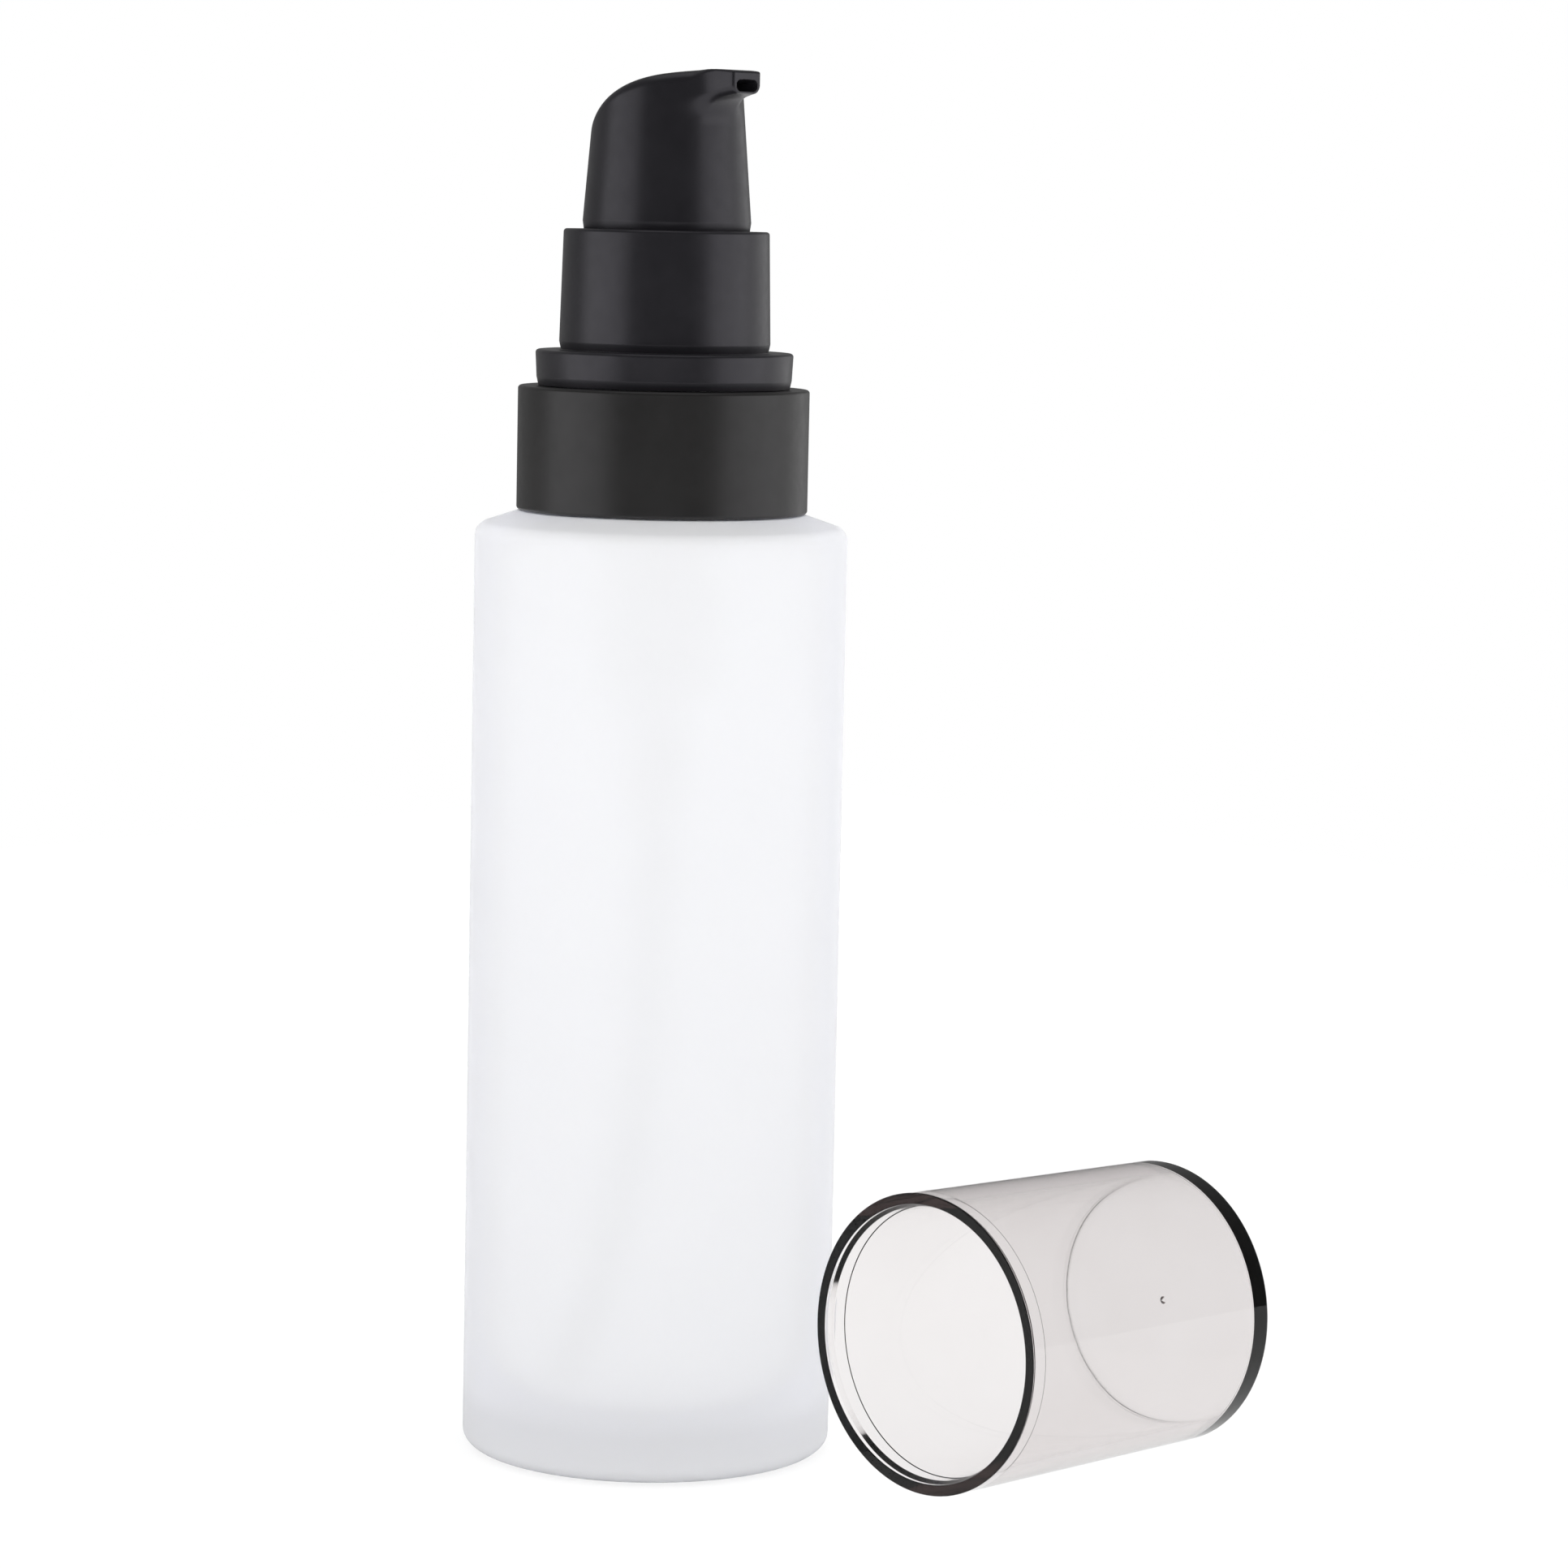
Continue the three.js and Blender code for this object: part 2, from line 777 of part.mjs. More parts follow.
function capGeometry() {
  const far = capLength - capEnd;
  const end = capRadius - capDraft;
  const lip = capBore + capLipStep;
  const outline = [
    [0, far],
    [capBore - capDraft, far],
    [capBore, capLipDepth + capLipSlope],
    [lip, capLipDepth],
    [lip, 0],
    [capRadius, 0],
    ...arc(end - capEdge, capLength - capEdge, capEdge, 0, 90, 2),
    [gateRadius, capLength],
    [0, capLength - gateDepth],
  ];
  return turned(outline, wideSides);
}

const glass = new THREE.MeshStandardMaterial({
  color: 0xe9ebef,
  roughness: 0.55,
  transparent: true,
  opacity: 0.45,
});
const smoke = new THREE.MeshStandardMaterial({
  color: 0x8f8b8c,
  roughness: 0.1,
  transparent: true,
  opacity: 0.4,
});
const blackPlastic = new THREE.MeshStandardMaterial({ color: 0x1c1b1b, roughness: 0.45 });
const whitePlastic = new THREE.MeshStandardMaterial({ color: 0xe8e8e6, roughness: 0.5 });
const tubePlastic = new THREE.MeshStandardMaterial({ color: 0xdfe2e2, roughness: 0.4 });
const foam = new THREE.MeshStandardMaterial({ color: 0xd8d8d4, roughness: 0.8 });
const steel = new THREE.MeshStandardMaterial({ color: 0xb9bcc0, roughness: 0.3, metalness: 1 });

const root = new THREE.Group();

function add(name, geometry, material, parent = root) {
  const mesh = new THREE.Mesh(geometry, material.clone());
  mesh.name = name;
  parent.add(mesh);
}

add("bottle", bottleGeometry(), glass);
add("neck_gasket", gasketGeometry(), foam);
add("screw_closure", closureGeometry(), whitePlastic);
add("outer_collar", collarGeometry(), blackPlastic);
add("guide_sleeve", sleeveGeometry(), blackPlastic);
add("pump_housing", housingGeometry(), whitePlastic);
add("lock_ring", lockRingGeometry(), whitePlastic);
add("stem", stemGeometry(), whitePlastic);
add("piston_rod", plugGeometry(), whitePlastic);
add("piston", pistonGeometry(), whitePlastic);
add("return_spring", springGeometry(), steel);
add("ball_retainer", retainerGeometry(), whitePlastic);
add("inlet_ball", ballGeometry(), steel);
add("dip_tube", tubeGeometry(), tubePlastic);
add("actuator", headGeometry(), blackPlastic);

// The overcap lies on its draft, mouth towards -Y, with its rim beside the bottle.
const lean = Math.atan(capDraft / capLength);
const lying = new THREE.Group();
lying.rotation.x = -Math.PI / 2 - lean;
lying.position.set(
  capRadius + Math.sqrt((bottleRadius + capBottleGap) ** 2 - capMouthY ** 2),
  capMouthY,
  capRadius * Math.cos(lean),
);
root.add(lying);
add("overcap", capGeometry(), smoke, lying);

export default root;
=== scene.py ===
"""A frosted glass bottle with a black lotion pump, and its smoke-clear overcap lying beside it.

Sizes are in millimetres, as the part's own. Meshes are in metres, +Z up, with the spout along +X.
"""

import math

import bpy
import numpy as np
from mathutils import Matrix, Vector


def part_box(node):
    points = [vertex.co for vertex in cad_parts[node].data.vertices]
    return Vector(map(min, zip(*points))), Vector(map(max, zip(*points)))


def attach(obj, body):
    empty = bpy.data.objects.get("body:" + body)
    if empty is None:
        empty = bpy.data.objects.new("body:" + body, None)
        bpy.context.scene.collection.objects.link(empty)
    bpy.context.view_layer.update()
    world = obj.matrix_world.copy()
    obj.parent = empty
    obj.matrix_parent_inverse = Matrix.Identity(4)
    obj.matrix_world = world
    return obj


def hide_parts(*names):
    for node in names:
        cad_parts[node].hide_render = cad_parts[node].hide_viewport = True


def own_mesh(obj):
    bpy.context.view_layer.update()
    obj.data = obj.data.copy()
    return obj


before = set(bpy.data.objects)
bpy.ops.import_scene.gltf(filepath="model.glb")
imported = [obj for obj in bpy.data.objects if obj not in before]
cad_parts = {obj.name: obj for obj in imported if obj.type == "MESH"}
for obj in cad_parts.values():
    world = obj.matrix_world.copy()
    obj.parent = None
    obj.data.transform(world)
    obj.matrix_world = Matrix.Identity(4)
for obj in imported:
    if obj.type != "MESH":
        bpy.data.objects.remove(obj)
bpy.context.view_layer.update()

METRE = 1000


def node_span(node):
    """Lowest and highest corner of a part's solid, in millimetres."""
    low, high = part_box(node)
    return np.array(low) * METRE, np.array(high) * METRE


# How finely surfaces are cut, and how near the axis an outline starts before a pole closes it
turned_sides = 192
fine_sides = 256
arc_steps = 8
fine_arc_steps = 12
arc_lead = 0.12
pole_gap = 0.5
sharp_angle = math.radians(50)

# Bottle
bottle_radius = node_span("bottle")[1][0]
neck_top = node_span("bottle")[1][2]
body_height = 101.4
bottle_wall = 2.6
base_thickness = 6.2
heel_round = 1.5
floor_round = 6.0
rim_drop = 1.3
rim_round = 1.6
roof_drop = 2.1
roof_round = 2.4
slope_inset = 0.3
slope_gap = 0.1
slope_round = 0.2
neck_radius = 10.95
neck_bore = 8.2
neck_root_round = 2.4
neck_lip_round = 0.6
neck_margin = 1.0
neck_rows = 72
thread_pitch = 3.175
thread_turns = 1.5
thread_depth = 1.05
thread_base = 1.9
thread_crest = 0.8
thread_start = 4.0
thread_fade = 0.12

# Collar and guide sleeve
collar_bottom = node_span("outer_collar")[0][2]
collar_top = node_span("outer_collar")[1][2]
collar_radius = node_span("outer_collar")[1][0]
collar_wall = 1.25
collar_flange = 1.2
collar_bore_round = 0.15
ring_bottom = node_span("guide_sleeve")[0][2]
sleeve_top = node_span("guide_sleeve")[1][2]
ring_top_radius = node_span("guide_sleeve")[1][0]
ring_flare = 0.15
ring_wall = 1.1
plate_thickness = 1.3
sleeve_height = 12.85
sleeve_wall = 1.35
sleeve_draft = 0.31
sleeve_lip_round = 0.25
sleeve_floor_round = 0.3
web_bore = 6.75
head_play = 0.45
plastic_edge = 0.35
hidden_edge = 0.1

# The draw-in at the foot of ring, sleeve and head, which leaves a soft dark line there
foot_draw = 0.2
foot_rise = 0.9
foot_edge = 0.05
foot_round = 0.6

# Press head
beak_sink = 0.08
skirt_bottom = node_span("actuator")[0][2]
beak_reach = node_span("actuator")[1][0]
crown_top = node_span("actuator")[1][2] + beak_sink
head_rise = 11.25
head_radius = 8.15
head_taper = 0.0805
head_wall = 1.15
head_roof = 139.0
roof_corner_round = 0.3
skirt_round = 0.3
skirt_bore_round = 0.2
crown_reach = 9.25
crown_radius = 20.9
crown_edge = 1.2
beak_width = 3.9
beak_flare = 0.2
beak_tip = 2.3
beak_slope = 0.27
beak_start = 1.2
beak_edge = 0.22
beak_belly = 0.9
beak_fillet = 2.4
outlet_width = 2.8
outlet_height = 1.1
outlet_drop = 1.67
outlet_depth = 2.4
outlet_wall = 0.14
outlet_zone = 1.0
channel_top = 143.4
channel_pole_gap = 0.2
socket_bottom = 128.45
socket_bore = 2.76
socket_radius = 4.01
socket_round = 0.2
stem_seat = 140.95
stem_bore = 1.3

# The rays that find the head's top: where they start, how far they go and how they are shared out
eye_reach = 3.0
eye_drop = 2.7
ray_reach = 20.0
ray_halvings = 30
ray_stretches = ((0, 0.14, 40), (0.14, 0.26, 20), (0.26, 0.5, 130), (0.5, 1, 45))
beak_crowding = 0.75

# Dip tube and return spring
tube_top = node_span("dip_tube")[1][2]
tube_radius = 2.2
tube_bore = 1.5
tube_straight = 32.0
tube_end_y = -12.6
tube_end_z = 8.5
tube_sweep_rise = 14.0
tube_sweep_reach = 2.0
tube_steps = 90
tube_sides = 40
spring_low = node_span("return_spring")[0][2]
spring_high = node_span("return_spring")[1][2]
spring_radius = 3.7
wire_radius = 0.42
wire_sides = 12
spring_curls = 7
spring_end_curls = 1
spring_end_gap = 0.5
steps_a_curl = 48

# Overcap, lying on its draft with its mouth towards -Y
cap_low, cap_high = node_span("overcap")
cap_radius = (cap_high[0] - cap_low[0]) / 2
cap_axis_x = (cap_high[0] + cap_low[0]) / 2
cap_mouth_y = 7.0
cap_wall = 1.6
cap_end = 1.3
cap_length = 37.55
cap_draft = 0.5
cap_corner_round = 0.6
cap_end_round = 0.4
cap_lip_depth = 0.45
cap_lip_slope = 0.6
cap_lip_step = 0.4
cap_lip_round = 0.2
cap_mouth_round = 0.12
cap_mouth_bore_round = 0.1
cap_seam_depth = 2.6
cap_seam_step = 0.08
cap_seam_round = 0.03
gate_radius = 0.42
gate_depth = 0.5
gate_edge = 0.05
gate_tip = 0.05

# Finishes: the painted shade by height on the glass, darkest over its solid base, and the span that most
# of a noise lies in
painted_shade_top = 100.0
painted_shade_stops = ((0, 0.885), (4.9, 0.9), (7.2, 0.96), (30, 0.98), (80, 1))
noise_low = 0.3
noise_high = 0.7
noise_roughness = 0.55
pore_size = 0.35

# Places of the colour sockets on a Mix node
MIX_COLOUR_A = 6
MIX_COLOUR_B = 7
MIX_COLOUR_RESULT = 2

# Floor, surroundings and lamps
floor_reach = 450.0
floor_drop = 0.3
floor_grey = 0.8
floor_seen_grey = 0.2
floor_seen_glow = 0.81
room_level = 1.0
mirrored_front = 0.05
mirrored_back = 0.26
front_from = 0.8
back_from = -0.6
lamp_aim_height = 90.0

# Camera, as the photo was taken: turned about the bottle, looking down and a little to the right
camera_azimuth = math.radians(47.68)
camera_distance = 524.05
camera_height = 133.4
camera_yaw = math.radians(1.5)
camera_pitch = math.radians(6.62)
camera_roll = 0.0209
camera_near = 10.0
photo_width = 1932
focal_pixels = 6018.4
sensor_width = 36.0

towards_camera = np.array([math.sin(camera_azimuth), -math.cos(camera_azimuth), 0])
across_camera = np.array([math.cos(camera_azimuth), math.sin(camera_azimuth), 0])
upwards = np.array([0, 0, 1.0])


# Shapes

def rounded(corners, loop=False, steps=arc_steps):
    """Outline through corners of radius, height and rounding.

    A rounding is an arc tangent to both sides. It meets them at rounding / tan(half the corner's angle)
    from the corner, and its centre is on the bisector at rounding / sin(half the angle). One more point
    just past each end keeps the flats flat under smooth shading.
    """
    spots = np.array([corner[:2] for corner in corners], float)
    points = []
    for i, corner in enumerate(corners):
        here = spots[i]
        if len(corner) < 3 or (not loop and i in (0, len(corners) - 1)):
            points.append(here[None])
            continue
        rounding = corner[2]
        before = spots[i - 1] - here
        after = spots[(i + 1) % len(spots)] - here
        before /= np.linalg.norm(before)
        after /= np.linalg.norm(after)
        half = math.acos(before @ after) / 2
        run = rounding / math.tan(half)
        bisector = (before + after) / np.linalg.norm(before + after)
        middle = here + bisector * rounding / math.sin(half)
        start = here + before * run - middle
        finish = here + after * run - middle
        first = math.atan2(start[1], start[0])
        sweep = (math.atan2(finish[1], finish[0]) - first + math.pi) % (2 * math.pi) - math.pi
        turn = first + sweep * np.linspace(0, 1, steps + 1)
        arc = middle + rounding * np.stack([np.cos(turn), np.sin(turn)], 1)
        lead = run + arc_lead * rounding
        points += [(here + before * lead)[None], arc, (here + after * lead)[None]]
    return np.concatenate(points)


def round_angles(sides):
    """Angles of evenly spaced columns, once round."""
    return np.arange(sides) * 2 * np.pi / sides


def turned_rows(outline, angles, added=0):
    """Rows of a turned surface: each outline point carried round Z, (r cos a, r sin a, z).

    What is added widens r.
    """
    r = outline[:, :1] + added
    z = outline[:, 1:]
    return np.stack(np.broadcast_arrays(r * np.cos(angles), r * np.sin(angles), z), -1)


def tube_rows(path, radius, sides, square_to):
    """Rows of a round tube: a circle carried along a path.

    A point is path + radius (cos a side + sin a up), where side is square to the path and to a fixed
    direction, and up is square to the path and to side.
    """
    along = np.gradient(path, axis=0)
    along /= np.linalg.norm(along, axis=1, keepdims=True)
    side = np.cross(square_to, along)
    side /= np.linalg.norm(side, axis=1, keepdims=True)
    up = np.cross(along, side)
    angles = round_angles(sides)[None, :, None]
    return path[:, None] + radius * (np.cos(angles) * side[:, None] + np.sin(angles) * up[:, None])


def closed_skin(rows, loop=False, first_pole=None, last_pole=None):
    """Points and faces of a grid that is closed round its columns.

    A pole closes the first or last row with a fan, and a loop joins the last row to the first. Faces
    point outwards where rows run up an outer wall and columns run anticlockwise.
    """
    count, columns = rows.shape[:2]
    index = np.arange(count * columns).reshape(count, columns)
    points = [rows.reshape(-1, 3)]
    strips = np.vstack([index, index[:1]]) if loop else index
    beside = np.roll(strips, -1, axis=1)
    faces = np.stack([strips[:-1], beside[:-1], beside[1:], strips[1:]], -1).reshape(-1, 4).tolist()
    total = count * columns
    for pole, ring in ((first_pole, index[0][::-1]), (last_pole, index[-1])):
        if pole is None:
            continue
        points.append(np.array([pole], float))
        fan = np.stack([ring, np.roll(ring, -1), np.full(columns, total)], -1)
        faces += fan.tolist()
        total += 1
    return np.concatenate(points), faces


def make_piece(name, skin, body, node, material):
    """A piece from a closed skin, which stands for its solid and rides on that solid's body."""
    points, faces = skin
    mesh = bpy.data.meshes.new(name)
    mesh.from_pydata((points / METRE).tolist(), [], faces)
    mesh.shade_smooth()
    mesh.set_sharp_from_angle(angle=sharp_angle)
    mesh.materials.append(material)
    piece = bpy.data.objects.new(name, mesh)
    bpy.context.scene.collection.objects.link(piece)
    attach(piece, body)
    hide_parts(node)
    return piece


# Bottle and overcap

def neck_thread(angle, height):
    """How far the screw ridge stands out of the neck.

    The ridge's middle climbs one pitch a turn from the thread's start. Across it the ridge is a
    trapezoid, base wide at the neck and crest wide at its top, and it fades in and out over a share of
    its length at both ends.
    """
    ridge = np.zeros(np.broadcast(angle, height).shape)
    for turn in range(math.ceil(thread_turns)):
        travelled = angle / (2 * np.pi) + turn
        middle = body_height + thread_start + thread_pitch * travelled
        flank = (thread_base / 2 - np.abs(height - middle)) / ((thread_base - thread_crest) / 2)
        to_end = np.minimum(travelled, thread_turns - travelled) / thread_turns
        fade = np.clip(to_end / thread_fade, 0, 1)
        ridge = np.maximum(ridge, np.clip(flank, 0, 1) * fade)
    return thread_depth * ridge


def bottle_skin():
    """The glass: an outline turned about Z, with the thread added to the radius of the neck.

    The shoulder is one low cone, from the rim up to just under the collar.
    """
    inner = bottle_radius - bottle_wall
    roof = body_height - roof_drop
    slope_top = collar_bottom - slope_gap
    neck_heights = np.linspace(body_height + neck_margin, neck_top - neck_margin, neck_rows)
    outline = rounded(
        [
            (pole_gap, 0),
            (bottle_radius, 0, heel_round),
            (bottle_radius, body_height - rim_drop, rim_round),
            (collar_radius - slope_inset, slope_top, slope_round),
            (neck_radius, slope_top, slope_round),
            *((neck_radius, z) for z in neck_heights),
            (neck_radius, neck_top, neck_lip_round),
            (neck_bore, neck_top, neck_lip_round),
            (neck_bore, roof, neck_root_round),
            (inner, roof, roof_round),
            (inner, base_thickness, floor_round),
            (pole_gap, base_thickness),
        ],
        steps=fine_arc_steps,
    )
    angles = round_angles(turned_sides)
    on_neck = np.isclose(outline[:, :1], neck_radius)
    ridge = np.where(on_neck, neck_thread(angles, outline[:, 1:]), 0)
    rows = turned_rows(outline, angles, ridge)
    return closed_skin(rows, first_pole=(0, 0, 0), last_pole=(0, 0, base_thickness))


def overcap_skin():
    """The cap: an outline turned about its own axis, then laid on its tapered side."""
    bore = cap_radius - cap_wall
    inner_end = cap_length - cap_end
    gate_end = cap_length - gate_depth
    outline = rounded(
        [
            (pole_gap, inner_end),
            (bore - cap_draft, inner_end, cap_corner_round),
            (bore, cap_seam_depth + cap_seam_step, cap_seam_round),
            (bore + cap_seam_step, cap_seam_depth, cap_seam_round),
            (bore + cap_seam_step, cap_lip_depth + cap_lip_slope, cap_lip_round),
            (bore + cap_lip_step, cap_lip_depth, cap_lip_round),
            (bore + cap_lip_step, 0, cap_mouth_bore_round),
            (cap_radius, 0, cap_mouth_round),
            (cap_radius - cap_draft, cap_length, cap_end_round),
            (gate_radius, cap_length, gate_edge),
            (gate_tip, gate_end),
        ]
    )
    lean = math.atan(cap_draft / cap_length)
    side = np.array([1.0, 0, 0])
    down = np.array([0, -math.sin(lean), -math.cos(lean)])
    along = np.array([0, math.cos(lean), -math.sin(lean)])
    mouth = np.array([cap_axis_x, cap_mouth_y, cap_radius * math.cos(lean)])
    lying = np.stack([side, down, along])
    rows = turned_rows(outline, round_angles(fine_sides)) @ lying + mouth
    return closed_skin(rows, first_pole=mouth + along * inner_end, last_pole=mouth + along * gate_end)


# Collar and guide sleeve

def collar_skin():
    """The collar: a plain skirt with a flange turned in at its top, both outer edges rounded."""
    bore = collar_radius - collar_wall
    ring_bore = ring_top_radius - ring_flare - ring_wall
    flange_bottom = collar_top - collar_flange
    outline = rounded(
        [
            (bore, collar_bottom, collar_bore_round),
            (collar_radius, collar_bottom, plastic_edge),
            (collar_radius, collar_top, plastic_edge),
            (ring_bore, collar_top, collar_bore_round),
            (ring_bore, flange_bottom, collar_bore_round),
            (bore, flange_bottom, collar_bore_round),
        ],
        loop=True,
    )
    return closed_skin(turned_rows(outline, round_angles(turned_sides)), loop=True)


def sleeve_skin():
    """The guide sleeve: a slightly flared ring, a plate, and a slightly tapered sleeve standing on it.

    Ring and sleeve draw in a little at their foot. The sleeve is as wide as the head's skirt, its play
    and the sleeve's own wall.
    """
    ring_radius = ring_top_radius - ring_flare
    ring_bore = ring_radius - ring_wall
    plate_top = sleeve_top - sleeve_height
    plate_bottom = plate_top - plate_thickness
    bore = head_wall_radius(skirt_bottom) + head_play
    sleeve_radius = bore + sleeve_wall
    outline = rounded(
        [
            (ring_bore, ring_bottom, hidden_edge),
            (ring_radius - foot_draw, ring_bottom, foot_edge),
            (ring_radius, ring_bottom + foot_rise, foot_round),
            (ring_top_radius, plate_top, plastic_edge),
            (sleeve_radius - foot_draw, plate_top, foot_edge),
            (sleeve_radius, plate_top + foot_rise, foot_round),
            (sleeve_radius - sleeve_draft, sleeve_top, plastic_edge),
            (bore, sleeve_top, sleeve_lip_round),
            (bore, plate_top, sleeve_floor_round),
            (web_bore, plate_top, hidden_edge),
            (web_bore, plate_bottom, hidden_edge),
            (ring_bore, plate_bottom, hidden_edge),
        ],
        loop=True,
    )
    return closed_skin(turned_rows(outline, round_angles(turned_sides)), loop=True)


# Press head

def head_wall_radius(z):
    """Radius of the head's tapered wall at a height."""
    return head_radius + head_taper * (sleeve_top + head_rise - z)


def softer_of(a, b, width):
    """Smaller of two distances, blended over a width.

    Where they are close it is min - (width - |a - b|)^2 / (4 width).
    """
    close = np.clip(width - np.abs(a - b), 0, None)
    return np.minimum(a, b) - close * close / (4 * width)


def rounded_cut(a, b, rounding):
    """What two distances share, with the edge between them rounded: there, hypot(a + r, b + r) - r."""
    a = a + rounding
    b = b + rounding
    return np.minimum(np.maximum(a, b), 0) + np.hypot(np.maximum(a, 0), np.maximum(b, 0)) - rounding


def crown_height(x):
    """The head's arched top: crest - (distance from the crest)^2 / (2 radius), the same all across."""
    return crown_top - (x - crown_reach) ** 2 / (2 * crown_radius)


def head_distance(p):
    """Distance to the head's outside: a tapered wall and a beak, joined by a fillet, under an arched top.

    The beak is a bar with a rounded belly and a square tip, whose underside falls away from the top
    evenly towards the wall. The top edge's rounding gets smaller from the wall out to the beak.
    """
    x, y, z = p[..., 0], p[..., 1], p[..., 2]
    wall = (np.hypot(x, y) - head_wall_radius(z)) / math.hypot(1, head_taper)
    top = (z - crown_height(x)) / np.hypot(1, (x - crown_reach) / crown_radius)
    under = crown_height(x) - beak_tip - beak_slope * (beak_reach - x)
    beside = np.abs(y) - beak_width / 2 - beak_flare * (beak_reach - x)
    beak = rounded_cut(beside, (under - z) / math.hypot(1, beak_slope), beak_belly)
    beak = rounded_cut(beak, x - beak_reach, beak_edge)
    beak = np.maximum(beak, beak_start - x)
    out = np.clip((x - head_radius + crown_edge) / (2 * crown_edge), 0, 1)
    edge = crown_edge + (beak_edge - crown_edge) * out * out * (3 - 2 * out)
    return rounded_cut(softer_of(wall, beak, beak_fillet), top, edge)


def outlet_distance(p):
    """Distance across the outlet's oval: a slot with round ends, straight in from the beak's tip."""
    round_end = outlet_height / 2
    beside = np.maximum(np.abs(p[..., 1]) - (outlet_width / 2 - round_end), 0)
    return np.hypot(beside, p[..., 2] - (crown_top - outlet_drop)) - round_end


def head_hits(eye, rays):
    """Where rays from a point inside the head come out of it: head_distance is zero, found by halving."""
    near = np.zeros(rays.shape[:-1])
    far = np.full(rays.shape[:-1], ray_reach)
    for _ in range(ray_halvings):
        middle = (near + far) / 2
        outside = head_distance(eye + rays * middle[..., None]) > 0
        far = np.where(outside, middle, far)
        near = np.where(outside, near, middle)
    return eye + rays * far[..., None]


def head_skin():
    """The head: its hollow and wall are turned, and its top and beak are found along rays.

    Each ray leaves a point inside the beak's root, the eye, and its elevation goes from a ring on the
    wall to straight up. Points inside the outlet's oval go back along their ray by the outlet's depth.
    Columns crowd at the beak: angle = u - crowding sin u.
    """
    u = round_angles(fine_sides)
    angles = u - beak_crowding * np.sin(u)
    skirt = head_wall_radius(skirt_bottom)
    ring = head_wall_radius(head_roof)
    foot_low = sleeve_top - foot_rise
    foot_high = sleeve_top + foot_rise
    outline = rounded(
        [
            (channel_pole_gap, channel_top),
            (stem_bore, channel_top, hidden_edge),
            (stem_bore, stem_seat, hidden_edge),
            (socket_bore, stem_seat, hidden_edge),
            (socket_bore, socket_bottom, socket_round),
            (socket_radius, socket_bottom, socket_round),
            (socket_radius, head_roof, roof_corner_round),
            (ring - head_wall, head_roof, roof_corner_round),
            (skirt - head_wall, skirt_bottom, skirt_bore_round),
            (skirt, skirt_bottom, skirt_round),
            (head_wall_radius(foot_low), foot_low, foot_round),
            (head_wall_radius(sleeve_top) - foot_draw, sleeve_top, foot_edge),
            (head_wall_radius(foot_high), foot_high, foot_round),
            (ring, head_roof),
        ]
    )
    wall_rows = turned_rows(outline, angles)
    eye = np.array([eye_reach, 0, crown_top - eye_drop])
    towards = wall_rows[-1] - eye
    level = np.linalg.norm(towards[:, :2], axis=1)
    lowest = np.arctan2(towards[:, 2], level)
    heading = towards[:, :2] / level[:, None]
    shares = [np.linspace(low, high, count, endpoint=False) for low, high, count in ray_stretches]
    share = np.concatenate(shares)[1:]
    rise = lowest + (np.pi / 2 - lowest) * share[:, None]
    rays = np.stack([np.cos(rise) * heading[:, 0], np.cos(rise) * heading[:, 1], np.sin(rise)], -1)
    surface = head_hits(eye, rays)
    front = surface[..., 0] > beak_reach - outlet_zone
    sunk = np.clip(0.5 - outlet_distance(surface) / outlet_wall, 0, 1) * front
    surface -= rays * (outlet_depth * sunk)[..., None]
    rows = np.concatenate([wall_rows, surface])
    top = (eye_reach, 0, crown_height(eye_reach))
    return closed_skin(rows, first_pole=(0, 0, channel_top), last_pole=top)


# Dip tube and return spring

def dip_tube_skin():
    """The dip tube: rings along a cubic curve that leaves the pump straight down and bends to the heel.

    With s = 1 - t, the curve is s^3 a + 3 s^2 t b + 3 s t^2 c + t^3 d through its four knots.
    """
    t = np.linspace(0, 1, tube_steps)[:, None]
    s = 1 - t
    knots = np.array(
        [
            [0, 0, tube_top],
            [0, 0, tube_top - tube_straight],
            [0, -tube_sweep_reach, tube_end_z + tube_sweep_rise],
            [0, tube_end_y, tube_end_z],
        ]
    )
    path = s**3 * knots[0] + 3 * s * s * t * knots[1] + 3 * s * t * t * knots[2] + t**3 * knots[3]
    outer = tube_rows(path, tube_radius, tube_sides, square_to=np.array([0, 1.0, 0]))
    inner = tube_rows(path, tube_bore, tube_sides, square_to=np.array([0, 1.0, 0]))
    return closed_skin(np.concatenate([outer, inner[::-1]]), loop=True)


def spring_skin():
    """The return spring: wire carried along a helix, whose first and last curls close up to a seat.

    A point of the helix is (r cos a, r sin a, z), with z rising evenly within each of three stretches.
    """
    curls = spring_curls + 2 * spring_end_curls
    turn = np.linspace(0, curls, steps_a_curl * curls + 1)
    bottom, top = spring_low + wire_radius, spring_high - wire_radius
    end_rise = spring_end_curls * (2 * wire_radius + spring_end_gap)
    knots = [0, spring_end_curls, spring_end_curls + spring_curls, curls]
    z = np.interp(turn, knots, [bottom, bottom + end_rise, top - end_rise, top])
    angle = 2 * np.pi * turn
    path = np.stack([spring_radius * np.cos(angle), spring_radius * np.sin(angle), z], 1)
    rows = tube_rows(path, wire_radius, wire_sides, square_to=upwards)
    return closed_skin(rows, first_pole=path[0], last_pole=path[-1])


# Finishes

